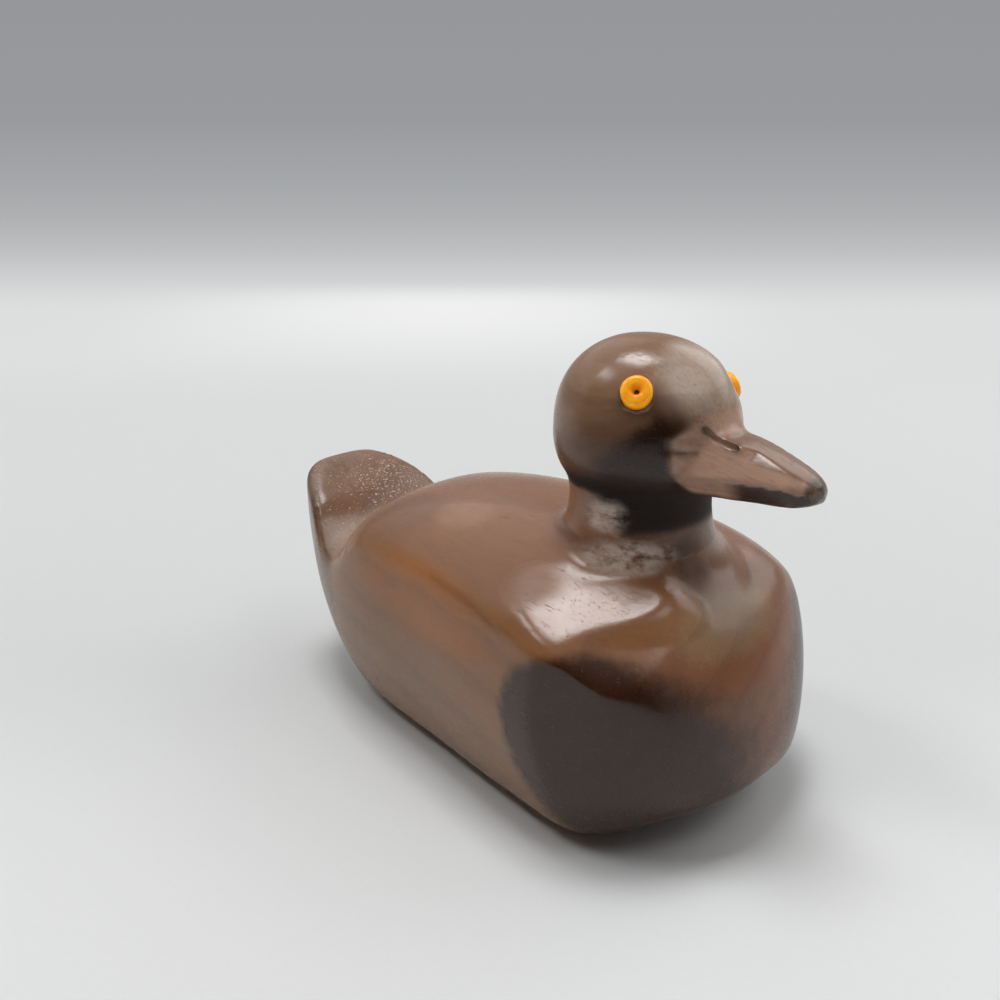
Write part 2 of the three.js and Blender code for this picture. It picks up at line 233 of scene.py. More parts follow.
at = points_of(blank)
x, y, z = at.T
neck_foot = between(z, 30, 34, 43, 47) * (1 - fade(np.hypot(x, y + NECK_AHEAD), 15, 19))
brow_foot = 1 - fade(np.linalg.norm((at - (0, -29.6, 57.0)) / (8.5, 4.2, 4.0), axis=1), 0.5, 1.3)
front_foot = neck_foot * fade(-y, 20, 24)
for hollow, passes in ((neck_foot, FOOT_PASSES), (brow_foot, BROW_PASSES), (front_foot, FRONT_PASSES)):
    for _ in range(passes):
        sand(blank, hollow)

# The knife's flats: broad facets that the carver left on shoulders, breast, forehead, bill and tail,
# each pared a little below the rounded skin. The right shoulder also has an oval flat, pressed level.
OVAL_FLAT = ((-14.2, -25.3, 33.1), (-0.40, -0.25, 0.882), -0.58)
OVAL_LONG_WAY = (0.73, -0.68, 0)
OVAL_HALF_LENGTH = 8.6
OVAL_HALF_HEIGHT = 4.4
# A flat has a place, the way it faces, its depth under the place (a minus is above it), the softness
# of its edge, its reach and, where that counts, how far it keeps from the neck's axis.
SHOULDER_FLATS = (
    ((14.3, -29.4, 31.9), (0.12, -0.5, 0.857), 0.35, 0.3, 14, 13.0),
    ((-17.6, -27.5, 31.0), (-0.45, -0.53, 0.72), -0.15, 0.8, 10, 13.0),
    (*OVAL_FLAT, 0.3, 11, 12.0),
)
BREAST_FLATS = (
    ((-25.3, -24.0, 18.0), (-0.96, -0.27, -0.05), 0.9, 0.35, 20, 13.0),
    ((-21.5, -32.3, 18.0), (-0.76, -0.65, -0.03), 0.25, 1.0, 11, 13.0),
)
HEAD_FLATS = (
    ((-4.2, -28.4, 60.2), (-0.45, -0.67, 0.59), 0.35, 0.25, 5),
    ((5.4, -28.4, 59.2), (0.56, -0.67, 0.48), 0.35, 0.25, 5),
    ((-4.2, -39.5, 51.5), (-0.60, -0.20, 0.77), 0.06, 0.1, 3.0),
)
TAIL_FLAT = ((-5.5, 41.7, 32.5), (-0.03, -0.5, 0.866), 0.5, 0.15, 16)


def unit(way):
    """A direction with a length of 1."""
    return np.array(way) / np.linalg.norm(way)


def pare(points, place, facing, depth, edge, reach, clear=0.0):
    """Planes the skin down to a flat, clear of the neck where that is asked for."""
    facing = unit(facing)
    proud = (points - np.array(place)) @ facing + depth
    left = (proud - np.sqrt(proud * proud + edge * edge)) / 2
    near = 1 - fade(np.linalg.norm(points - np.array(place), axis=1), reach, reach * 1.5)
    if clear:
        near = near * fade(np.hypot(points[:, 0], points[:, 1] + NECK_AHEAD), clear, clear + 3.5)
        near = near * (points[:, 2] < SEAT_HEIGHT)
    return points - np.outer((proud - left) * near, facing)


def press_flat(points, place, facing, depth, long_way, half_length, half_height):
    """Brings an oval of the skin to a flat, raised here and lowered there, and eases it into the rest."""
    facing = unit(facing)
    side = unit(np.array(long_way) - facing * (facing @ np.array(long_way)))
    off = points - np.array(place)
    oval = np.hypot(off @ side / half_length, off @ np.cross(facing, side) / half_height)
    near = (1 - fade(oval, 0.6, 1.5)) * (points[:, 2] < SEAT_HEIGHT) * (np.abs(off @ facing) < 4)
    return points - np.outer((off @ facing + depth) * near, facing)


skin = points_of(blank)
for flat in SHOULDER_FLATS:
    skin = pare(skin, *flat)
skin = press_flat(skin, *OVAL_FLAT, OVAL_LONG_WAY, OVAL_HALF_LENGTH, OVAL_HALF_HEIGHT)
for flat in BREAST_FLATS + HEAD_FLATS:
    skin = pare(skin, *flat)
on_tail = fade(skin[:, 1], 33.5, 36.5)[:, None]
skin = skin + (pare(skin, *TAIL_FLAT) - skin) * on_tail
place_points(blank, skin)

# The lower edge is rounded under, so that the duck stands on a base a little smaller than its body.
# Faces that look straight down stay where they are, and so keep the base flat.
UNDERCUT = 1.25
UNDERCUT_HEIGHT = 3.2


def outward(piece):
    """The skin's outward directions, one for each vertex."""
    flat = np.empty(len(piece.data.vertices) * 3, np.float32)
    piece.data.vertex_normals.foreach_get("vector", flat)
    return flat.reshape(-1, 3).astype(float)


def unit_rows(rows):
    """Each row as a direction of length 1; a row of nothing stays so."""
    return rows / np.maximum(np.linalg.norm(rows, axis=1), 1e-6)[:, None]


facing = outward(blank)
level = unit_rows(facing * (1, 1, 0))
under = UNDERCUT * np.clip(1 - skin[:, 2] / UNDERCUT_HEIGHT, 0, 1) ** 2
skin = skin - level * (under * (np.abs(facing[:, 2]) < 0.97))[:, None]
place_points(blank, skin)

# The knife's lines and the knocks of use: stop cuts at the bill's root and mouth, a fine crack in the
# tail's edge, and old dents. A cut has its line, depth and width, and a dent its place, reach and depth.
BILL_ROOT = [(-8.0, -27.8, 53.4), (-7.6, -27.9, 49.6), (-6.2, -29.3, 47.7)]
MOUTH = [(-7.9, -27.9, 52.6), (-6.9, -28.9, 52.3), (-5.8, -30.3, 52.3)]
TAIL_CRACK = [(-12.8, 40.0, 29.4), (-14.2, 37.9, 26.6), (-15.1, 36.3, 24.3)]
CUTS = ((BILL_ROOT, 0.14, 0.5), (MOUTH, 0.2, 0.4), (TAIL_CRACK, 0.14, 0.3))
DENTS = (
    ((8.6, 46.8, 34.2), 2.6, 0.5),
    ((-18.2, 18.4, 6.8), 0.9, 0.45),
    ((-8.0, -29.5, 34.9), 0.9, 0.2),
    ((-12.2, 45.6, 31.0), 0.9, 0.25),
)


def beside_line(points, line):
    """How far each point is from a line through several places."""
    nearest = np.full(len(points), 1e9)
    for start, end in zip(np.array(line[:-1], float), np.array(line[1:], float)):
        along = np.clip((points - start) @ (end - start) / ((end - start) @ (end - start)), 0, 1)
        nearest = np.minimum(nearest, np.linalg.norm(points - start - np.outer(along, end - start), axis=1))
    return nearest


facing = outward(blank)
for line, depth, width in CUTS:
    cut = depth * np.exp(-(beside_line(skin, line) / width) ** 2)
    skin = skin - facing * cut[:, None]
for place, reach, depth in DENTS:
    apart = np.linalg.norm(skin - np.array(place), axis=1)
    for i in np.nonzero(apart < reach * 1.6)[0]:
        rough = 0.55 + 0.9 * mathnoise.noise(Vector(skin[i]) * 1.3)
        skin[i] -= facing[i] * depth * rough * math.exp(-(apart[i] / reach) ** 2 * 2)
place_points(blank, skin)

# Body and head: the blank is sawn apart at the neck's sloping seat, and each half is drilled for the
# dowel. The head also gets its eye sockets, pin holes and nostrils, gouged as slots.
DOWEL_END_GAP = 0.5
SOCKET_CUT = 6
SOCKET_BELOW_BEAD = 1.5
PIN_HOLE_RADIUS = 0.4
PIN_HOLE_LENGTH = 7
PIN_HOLE_MIDDLE = -2.8
SLOT_HALF_LENGTH = 2.75
SLOT_HALF_WIDTH = 0.7
SLOT_DEPTH = 1.1
SLOT_OUT = 4.2
SLOT_AHEAD = 14.5
SLOT_RISE = 0.05
SMOOTH_ANGLE = math.radians(35)

select_only(blank)
bpy.ops.object.duplicate()
carved_head = bpy.context.object
carved_head.name = "carved_head"
carved_body = blank
carved_body.name = "carved_body"


def saw_at_seat(piece, keep_upper):
    """Cuts a piece at the sloping seat, keeps one side of it and closes the cut."""
    select_only(piece)
    bpy.ops.object.mode_set(mode="EDIT")
    bpy.ops.mesh.select_all(action="SELECT")
    bpy.ops.mesh.bisect(
        plane_co=Vector((0, -NECK_AHEAD, SEAT_HEIGHT)) * MM,
        plane_no=(0, -math.sin(SEAT_SLOPE), math.cos(SEAT_SLOPE)),
        use_fill=True,
        clear_inner=keep_upper,
        clear_outer=not keep_upper,
        threshold=0.0001 * MM,
    )
    bpy.ops.object.mode_set(mode="OBJECT")


def cut_with(piece, cutter):
    """Takes the cutter's shape out of a piece and throws the cutter away."""
    shape_with(piece, "BOOLEAN", operation="DIFFERENCE", object=cutter, solver="EXACT")
    bpy.data.objects.remove(cutter)


def drill(radius, depth, place):
    """A round cutter, made along Z and set in place by a matrix in millimetres."""
    bpy.ops.object.select_all(action="DESELECT")
    bpy.ops.mesh.primitive_cylinder_add(vertices=64, radius=radius * MM, depth=depth * MM, location=(0, 0, 0))
    cutter = bpy.context.object
    move = place.copy()
    move.translation = move.translation * MM
    cutter.data.transform(move)
    return cutter


def along_gaze(side, distance):
    """Turns a shape made along Z to lie along an eye's gaze, that far out from the bead's middle."""
    turn = gaze(side).to_track_quat("Z", "Y").to_matrix().to_4x4()
    return Matrix.Translation(bead_centre(side) + gaze(side) * distance) @ turn


def slot_frame(side):
    """A nostril's slot as it is cut: it runs down and forward where the forehead meets the bill."""
    along = Vector((side * -0.18, -0.91, -0.36)).normalized()
    out = Vector((side * 0.60, -0.25, 0.76))
    out = (out - along * out.dot(along)).normalized()
    turn = Matrix((out, along, out.cross(along))).transposed().to_4x4()
    return HEAD_FRAME @ Matrix.Translation(Vector((side * SLOT_OUT, -SLOT_AHEAD, SLOT_RISE))) @ turn


saw_at_seat(carved_body, False)
saw_at_seat(carved_head, True)
dowel_low, dowel_high = (corner.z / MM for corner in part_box("neck_dowel"))
hole_depth = dowel_high - dowel_low + 2 * DOWEL_END_GAP
hole_place = Matrix.Translation(Vector((0, -NECK_AHEAD, (dowel_low + dowel_high) / 2)))
cut_with(carved_body, drill(DOWEL_RADIUS, hole_depth, hole_place))
cut_with(carved_head, drill(DOWEL_RADIUS, hole_depth, hole_place))

for side in (-1, 1):
    socket_place = along_gaze(side, SOCKET_CUT / 2 - SOCKET_BELOW_BEAD)
    cut_with(carved_head, drill(SOCKET_RADIUS, SOCKET_CUT, socket_place))
    cut_with(carved_head, drill(PIN_HOLE_RADIUS, PIN_HOLE_LENGTH, along_gaze(side, PIN_HOLE_MIDDLE)))
    bpy.ops.object.select_all(action="DESELECT")
    bpy.ops.mesh.primitive_uv_sphere_add(segments=32, ring_count=24, radius=MM, location=(0, 0, 0))
    slot_cutter = bpy.context.object
    place = slot_frame(side)
    place.translation = place.translation * MM
    size = Matrix.Diagonal(Vector((SLOT_DEPTH, SLOT_HALF_LENGTH, SLOT_HALF_WIDTH, 1)))
    slot_cutter.data.transform(place @ size)
    cut_with(carved_head, slot_cutter)

for piece in (carved_body, carved_head):
    select_only(piece)
    bpy.ops.object.shade_smooth_by_angle(angle=SMOOTH_ANGLE)

# Where each stain lies: soft masks kept on the skin, one value for each vertex. They follow the wood's end
# grain on the breast, its worn edges, the knife's lines and where dust lies, and they also carry painted
# light: painted shade on the throat, the cheeks, the bill's underside and the breast's corner, and painted
# highlights and sheen on the neck, brow, back, shoulders and tail.
GRAIN_LINE = [(-21.6, 1.3, 31.4), (-23.1, -7.1, 31.0), (-24.6, -14.8, 29.1)]
CHEEK_LINE = [
    (-8.6, -25.6, 59.4), (-7.6, -27.6, 56.4), (-8.9, -26.4, 53.6), (-9.4, -25.3, 50.0), (-9.6, -24.0, 47.0),
]
SLOT_MARK_END = 2.3
# A patch has the middle of the place it covers, and its reach along x, y and z.
PATCHES = {
    "ochre": ((-22.0, 4.0, 26.5), (9.0, 19.0, 6.8)),
    "red_patch": ((-2.0, -37.8, 25.5), (9.0, 5.0, 4.5)),
    # Painted reflection: a paler grey veil on the front of the shoulders.
    "painted_shoulder_veil": ((-1.5, -34.5, 29.5), (12.0, 5.0, 5.0)),
    "hazed": ((-19.0, -15.2, 34.4), (4.5, 3.8, 3.0)),
    # Painted highlight: a pale blob on the back.
    "back_painted_highlight": ((-11.0, 5.5, 36.8), (4.5, 5.5, 4.0)),
}
DARK_BACK = ((-13.0, 15.0, 35.0), (7.0, 8.0, 4.5))
DARK_LEFT_SHOULDER = ((12.5, -31.5, 30.4), (5.5, 4.0, 3.5))
# Painted highlights: pale sheen painted on the neck's foot and side.
SHEEN_NECK_FOOT = ((-9.5, -23.0, 37.7), (7.0, 6.0, 2.2))
SHEEN_NECK_SIDE = ((-10.9, -20.4, 42.8), (2.2, 3.4, 2.4))
SHADED_BREAST_TOP = ((-2.5, -28.8, 36.2), (4.0, 3.4, 5.2))
# Painted reflection: a pale grey veil over the brow.
BROW_SHEEN_PLACE = ((-0.5, -27.0, 60.5), (8.5, 6.0, 8.0))
DUSTY_TAIL = ((4, 40, 31), (9, 6, 6))


def paint(piece, name, values):
    """Keeps one mask on a piece, one value for each vertex."""
    layer = piece.data.attributes.new(name, "FLOAT", "POINT")
    layer.data.foreach_set("value", np.clip(values, 0, 1).astype(np.float32))


def outward_bend(piece):
    """How sharply the skin bends outward at each vertex."""
    count = len(piece.data.vertices)
    ends = np.empty(len(piece.data.edges) * 2, np.int32)
    piece.data.edges.foreach_get("vertices", ends)
    ends = ends.reshape(-1, 2)
    links = np.bincount(ends.ravel(), minlength=count)[:, None]
    places = points_of(piece)
    total = np.zeros((count, 3))
    np.add.at(total, ends[:, 0], places[ends[:, 1]])
    np.add.at(total, ends[:, 1], places[ends[:, 0]])
    bend = np.einsum("ij,ij->i", places - total / links, outward(piece))
    for _ in range(5):
        spread = np.zeros(count)
        np.add.at(spread, ends[:, 0], bend[ends[:, 1]])
        np.add.at(spread, ends[:, 1], bend[ends[:, 0]])
        bend = 0.5 * bend + 0.5 * spread / links[:, 0]
    return bend


def within(points, place, reach):
    """1 at a place and 0 well beyond its reach."""
    apart = np.linalg.norm((points - np.array(place)) / np.array(reach), axis=1)
    return 1 - fade(apart, 0.4, 1.35)


def line_mark(points, line, width):
    """1 on a line, fading to 0 beside it."""
    return np.exp(-(beside_line(points, line) / width) ** 2)


for piece in (carved_body, carved_head):
    at = points_of(piece)
    x, y, z = at.T
    facing = outward(piece)
    ahead, upward = -facing[:, 1], facing[:, 2]
    bend = outward_bend(piece)
    from_neck = np.hypot(x, y + NECK_AHEAD)
    for name, (place, reach) in PATCHES.items():
        paint(piece, name, within(at, place, reach))
    by_neck = (1 - fade(from_neck, 14.5, 18.5)) * (z > 32)
    paint(piece, "upper", np.maximum(fade(upward, 0.35, 0.85), by_neck * (z < 42)))
    # Painted highlight: the pale sheen on the neck's foot and side.
    paint(piece, "painted_neck_sheen", np.maximum(within(at, *SHEEN_NECK_FOOT), within(at, *SHEEN_NECK_SIDE)))
    edge_wear = fade(bend, 0.008, 0.03) * (1 - fade(y, 32, 34))
    paint(piece, "worn", np.maximum(edge_wear, line_mark(at, TAIL_CRACK, 0.3)))
    paint(piece, "back_dark", np.maximum(within(at, *DARK_BACK), 0.9 * within(at, *DARK_LEFT_SHOULDER)))

    # The rump's back, the trough before the tail, and the tail's top: a pale grey painted sheen, where the
    # lacquer is also duller
    behind = 0.4 * fade(-ahead, 0.12, 0.5) * between(y, 10, 14, 22, 30) * fade(z, 22, 27)
    trough = between(y, 27, 31, 38, 42) * (1 - fade(z, 26.6, 29.6)) * fade(upward, 0.4, 0.7)
    tail_top = 0.4 * fade(z, 29.5, 32) * fade(y, 33, 36)
    paint(piece, "trough", np.maximum.reduce([behind, trough, tail_top]))
    paint(piece, "tail", fade(y, 29, 34))
    dusty = 0.35 + 0.65 * within(at, *DUSTY_TAIL)
    paint(piece, "dust", fade(y, 33, 35) * fade(upward, 0.4, 0.7) * dusty)

    # The breast, and the dark oval on its corner: end grain that took the stain deeper, darkened further with
    # painted shade and painted dark reflection where the breast turns down
    round_front = 0.5 * (24 - np.abs(x)) - 0.86 * (y + 26) - 5
    above = z - 16 + 0.25 * (round_front + 5)
    corner = np.hypot(round_front / np.where(round_front > 0, 19, 15), above / 14)
    softness = 0.1 + np.where(round_front > 0, 0.022 * round_front, 0.012 * np.clip(16 - z, 0, 14))
    paint(piece, "end_grain_and_shade", (1 - fade(corner, 1 - softness, 1 + softness)) * (y < -8) * (z < 36))
    paint(piece, "breast", fade(ahead, 0.35, 0.85) * (y < -8) * (1 - fade(z, 27, 33)))

    # The throat's painted shade: the neck's front, under the skull, and the breast just below
    front_line = 18.6 + 0.55 * np.clip(46 - z, 0, 9)
    neck_front = fade(-y - front_line, -1.0, 1.6) * between(z, 39.4, 41.8, 46.5, 48.2)
    under_skull = between(z, 45.0, 46.4, 46.4, 49.8) * between(-y, 9, 15, 28, 29.5)
    below_neck = 0.55 * within(at, *SHADED_BREAST_TOP) * (z < 41)
    paint(piece, "shade", np.maximum.reduce([neck_front, under_skull, below_neck]))
    paint(piece, "neck", between(z, 36, 38, 45.5, 47) * (1 - fade(-y, 21.6, 23.4)) * (from_neck < 16))

    # The bill, and the dark cheek that runs down behind its root on each side: stain gathered in that hollow,
    # deepened with painted shade
    root = -27.8 - 0.92 * np.clip(z - 53.8, 0, 9) - 0.74 * np.clip(49.6 - z, 0, 9)
    softness = 0.9 + 1.1 * fade(z, 53.5, 57)
    bill = fade((root - y) / softness, -1, 1) * between(z, 45.5, 47, 56.5, 60.0)
    by_cheek = beside_line(np.column_stack([-np.abs(x), y, z]), CHEEK_LINE)
    cheek_core = 0.6 + 1.2 * (1 - fade(z, 50, 55))
    cheek_reach = 4.2 + 5.5 * (1 - fade(z, 50, 57))
    cheek = (1 - 0.55 * fade(z, 54, 58.5)) * (1 - fade(by_cheek, cheek_core, cheek_reach))
    paint(piece, "cheek", cheek * (1 - bill * (1 - fade(z, 54, 56.5))) * (z > 44))
    # Painted reflection: the brow's pale grey veil.
    paint(piece, "brow_sheen", within(at, *BROW_SHEEN_PLACE) * fade(z, 51, 55) * fade(-y, 19, 23))
    paint(piece, "bill", bill)
    paint(piece, "bill_top", fade(upward, 0.55, 0.85) * fade(-y, 31, 34) * bill)
    # Painted shade: the bill's underside, where it faces down, is darkened.
    paint(piece, "bill_under_shade", fade(-upward, -0.02, 0.25) * fade(-y, 32.5, 38.5) * bill)
    paint(piece, "bill_end", fade(-y, 43.0, 44.6) * bill)

    # Lines that hold dark stain: stop cuts, a grain line on the flank, nostrils, and the tail's rim
    line_marks = [
        0.35 * line_mark(at, BILL_ROOT, 0.45),
        line_mark(at, MOUTH, 0.35),
        0.25 * line_mark(at, GRAIN_LINE, 0.4),
        0.7 * fade(bend, 0.012, 0.03) * fade(y, 32, 34) * (z > 24),
    ]
    for side in (-1, 1):
        slot = [slot_frame(side) @ Vector((0, end, 0)) for end in (-SLOT_MARK_END, SLOT_MARK_END)]
        line_marks.append(line_mark(at, slot, 0.6))
    paint(piece, "knife_lines", np.maximum.reduce(line_marks))

# Wood figure: growth rings about the log's heart, fine fibres and pores along the grain, and clouds
# of deeper and lighter stain. Places are in millimetres and the grain runs from bill to tail.
RING_WANDER = (9, 9, 9)
LOG_HEART = (14, 0, -12)
RING_STRETCH = (1, 0.12, 1)
FIBRE_STRETCH = (2.2, 0.08, 2.2)
PORE_STRETCH = (4.5, 0.32, 4.5)


def add_node(tree, kind, inputs=None, **settings):
    """Adds a shader node; each input is a plain value or another node's output."""
    made = tree.nodes.new(kind)
    for key, value in settings.items():
        setattr(made, key, value)
    for key, value in (inputs or {}).items():
        if isinstance(value, bpy.types.NodeSocket):
            tree.links.new(value, made.inputs[key])
        else:
            made.inputs[key].default_value = value
    return made


def maths(tree, operation, first, second=0.0):
    """One sum on two values."""
    return add_node(tree, "ShaderNodeMath", {0: first, 1: second}, operation=operation).outputs[0]


def plus(tree, first, second):
    return maths(tree, "ADD", first, second)


def minus(tree, first, second):
    return maths(tree, "SUBTRACT", first, second)


def times(tree, first, second):
    return maths(tree, "MULTIPLY", first, second)


def vector_maths(tree, operation, first, second=(0, 0, 0), output="Vector"):
    """One sum on two vectors."""
    made = add_node(tree, "ShaderNodeVectorMath", {0: first, 1: second}, operation=operation)
    return made.outputs[output]


def ease(tree, value, low, high):
    """0 below low, 1 above high, with a smooth change between."""
    inputs = {"Value": value, "From Min": low, "From Max": high}
    return add_node(tree, "ShaderNodeMapRange", inputs, interpolation_type="SMOOTHSTEP").outputs[0]


def noise(tree, place, scale, detail=2.0, roughness=0.5, output="Fac"):
    """Cloudy noise over a place."""
    inputs = {"Vector": place, "Scale": scale, "Detail": detail, "Roughness": roughness}
    return add_node(tree, "ShaderNodeTexNoise", inputs).outputs[output]


def mixed(tree, share, under, over, blend_type="MIX"):
    """One colour laid over another."""
    inputs = {0: share, 6: under, 7: over}
    return add_node(tree, "ShaderNodeMix", inputs, data_type="RGBA", blend_type=blend_type).outputs[2]


def evenly(tree, value):
    """One value as a grey."""
    return add_node(tree, "ShaderNodeCombineColor", {0: value, 1: value, 2: value}).outputs[0]


def mask_on(tree, name):
    """A mask that was painted on the skin."""
    return add_node(tree, "ShaderNodeAttribute", attribute_name=name).outputs["Fac"]


def in_millimetres(tree, turn=(0, 0, 0)):
    """The place on the object, in millimetres, turned where that is asked for."""
    here = add_node(tree, "ShaderNodeTexCoord").outputs["Object"]
    inputs = {"Vector": here, "Rotation": turn, "Scale": (1000, 1000, 1000)}
    return add_node(tree, "ShaderNodeMapping", inputs).outputs[0]


def new_finish(name):
    """A new material, with its node tree and its shader."""
    finish = bpy.data.materials.new(name)
    finish.use_nodes = True
    return finish, finish.node_tree, finish.node_tree.nodes["Principled BSDF"]


def new_group(name, inputs, outputs):
    """An empty shader node group with named sockets, and its input and output nodes."""
    tree = bpy.data.node_groups.new(name, "ShaderNodeTree")
    for label, kind, value in inputs:
        socket = tree.interface.new_socket(label, in_out="INPUT", socket_type=kind)
        socket.default_value = value
    for label, kind in outputs:
        tree.interface.new_socket(label, in_out="OUTPUT", socket_type=kind)
    return tree, tree.nodes.new("NodeGroupInput").outputs, tree.nodes.new("NodeGroupOutput").inputs


wood_figure, given, put = new_group(
    "wood_figure",
    [("Place", "NodeSocketVector", (0, 0, 0)), ("Ring Width", "NodeSocketFloat", 5.0)],
    [("Ring", "NodeSocketFloat"), ("Fibre", "NodeSocketFloat"), ("Pore", "NodeSocketFloat"),
     ("Cloud", "NodeSocketFloat")],
)
wander = noise(wood_figure, given["Place"], 0.035, 2.0, output="Color")
wander = vector_maths(wood_figure, "SUBTRACT", wander, (0.5, 0.5, 0.5))
wander = vector_maths(wood_figure, "MULTIPLY", wander, RING_WANDER)
wandered = vector_maths(wood_figure, "ADD", given["Place"], wander)
across = vector_maths(wood_figure, "MULTIPLY", wandered, RING_STRETCH)
from_heart = vector_maths(wood_figure, "SUBTRACT", across, LOG_HEART)
ring_radius = vector_maths(wood_figure, "LENGTH", from_heart, output="Value")
ring_phase = maths(wood_figure, "FRACT", maths(wood_figure, "DIVIDE", ring_radius, given["Ring Width"]))
ring_rise = ease(wood_figure, ring_phase, 0.45, 0.93)
ring_fall = minus(wood_figure, 1.0, ease(wood_figure, ring_phase, 0.94, 1.0))
wood_figure.links.new(times(wood_figure, ring_rise, ring_fall), put["Ring"])
fibre_place = vector_maths(wood_figure, "MULTIPLY", wandered, FIBRE_STRETCH)
wood_figure.links.new(noise(wood_figure, fibre_place, 1.0, 5.0, 0.65), put["Fibre"])
pore_place = vector_maths(wood_figure, "MULTIPLY", wandered, PORE_STRETCH)
wood_figure.links.new(ease(wood_figure, noise(wood_figure, pore_place, 1.0, 1.5), 0.62, 0.72), put["Pore"])
cloud_place = vector_maths(wood_figure, "MULTIPLY", given["Place"], (1, 0.5, 1))
wood_figure.links.new(noise(wood_figure, cloud_place, 0.06, 3.0), put["Cloud"])

# The stained and lacquered skin: brown stain that sank in deeper on the end grain and the bill's tip, worn
# pale on its edges where the duck is handled, with painted shade on the throat, cheeks, bill's underside and
# breast's corner and painted highlights and sheen on the neck, brow, back, shoulders and tail, all under a
# thin gloss lacquer that is duller in places.
# Near black: the rings, pores and knife lines, and the painted shade of the throat.
DARKEST = (0.012, 0.0042, 0.0018, 1)
RUBBED = (0.36, 0.19, 0.10, 1)
# The pale colour of the painted sheen on the neck.
NECK_SHEEN_PALE = (0.80, 0.66, 0.57, 1)
DUST = (0.62, 0.47, 0.36, 1)
FLANK_LOW = (0.31, 0.170, 0.097, 1)
FLANK_HIGH = (0.32, 0.145, 0.060, 1)
BACK = (0.255, 0.112, 0.052, 1)
BACK_DARK = (0.17, 0.075, 0.032, 1)
# The pale colour of the painted highlight on the back.
BACK_HIGHLIGHT_PALE = (0.44, 0.275, 0.20, 1)
# The pale grey of the painted sheen in the trough and on the tail's top.
TROUGH_SHEEN_GREY = (0.44, 0.34, 0.27, 1)
TAIL_BROWN = (0.17, 0.083, 0.043, 1)
# Near black for the breast's corner: end grain stain deepened with painted shade and painted dark reflection.
END_GRAIN_AND_SHADE = (0.034, 0.0105, 0.0045, 1)
BREAST_BROWN = (0.23, 0.088, 0.040, 1)
BREAST_RED = (0.30, 0.095, 0.030, 1)
# The colour of the painted reflection on the front of the shoulders.
SHOULDER_VEIL_BROWN = (0.33, 0.21, 0.105, 1)
OCHRE = (0.48, 0.150, 0.018, 1)
SKULL_LOW = (0.105, 0.041, 0.018, 1)
SKULL_HIGH = (0.31, 0.175, 0.10, 1)
NECK_BROWN = (0.36, 0.165, 0.085, 1)
# Near black for the cheeks' hollows, where stain gathered and painted shade deepens it, and for the painted
# shade under the bill.
CHEEK_SHADE_BROWN = (0.020, 0.0045, 0.0014, 1)
# The pale grey of the painted reflection on the brow.
BROW_SHEEN_GREY = (0.54, 0.42, 0.335, 1)
BILL_TAN = (0.53, 0.33, 0.235, 1)
BILL_BROWN = (0.17, 0.072, 0.032, 1)
BILL_GREY = (0.028, 0.019, 0.015, 1)

# Among these the back's pale patch is a painted highlight, the shoulders' paler veil a painted reflection,
# the trough's grey a painted sheen, the breast's dark corner partly painted shade, and the darkest stain
# painted shade.
BODY_STAINS = [
    ("upper", BACK, 0.9), ("back_dark", BACK_DARK, 0.5), ("back_painted_highlight", BACK_HIGHLIGHT_PALE, 0.25),
    ("tail", TAIL_BROWN, 0.85), ("trough", TROUGH_SHEEN_GREY, 0.45), ("breast", BREAST_BROWN, 0.85),
    ("ochre", OCHRE, 0.5), ("red_patch", BREAST_RED, 0.55), ("painted_shoulder_veil", SHOULDER_VEIL_BROWN, 0.6),
    ("end_grain_and_shade", END_GRAIN_AND_SHADE, 0.93), ("shade", DARKEST, 0.9),
]
# Among these the brow's grey is a painted reflection, and the cheek, the darkest stain and the bill's
# underside are painted shade.
HEAD_STAINS = [
    ("upper", BACK, 0.35), ("neck", NECK_BROWN, 0.9), ("brow_sheen", BROW_SHEEN_GREY, 0.75),
    ("bill", BILL_TAN, 0.95), ("bill_top", BILL_BROWN, 0.8), ("cheek", CHEEK_SHADE_BROWN, 0.93),
    ("shade", DARKEST, 0.95), ("bill_under_shade", CHEEK_SHADE_BROWN, 0.95), ("bill_end", BILL_GREY, 0.9),
]
BODY_STAIN_LINES = (9, 27)
# The head's colour runs from much darker at the bottom of the skull to paler on its top.
HEAD_TONE_HEIGHTS = (49, 62)

STAIN_DRIFT = 1.6
FRAY_CLOUD = 0.6
FRAY_STREAK = 0.5
FRAY = 0.9
SHEEN_BLOTCH_STRETCH = (0.5, 0.28, 0.6)
NECK_SHEEN_STRENGTH = 0.9
RING_STRENGTH = 0.14
PORE_STRENGTH = 0.35
LINE_STRENGTH = 0.85
WEAR_STRENGTH = 0.5
DUST_STRENGTH = 0.8
GLOSS = 0.165
GLOSS_CHANGE = 0.14
DULLNESS = (("trough", 0.3), ("hazed", 0.25), ("shade", 0.6))
PORE_DULLNESS = 0.15
LACQUER_IOR = 1.5
SKIN_RELIEF = 0.03


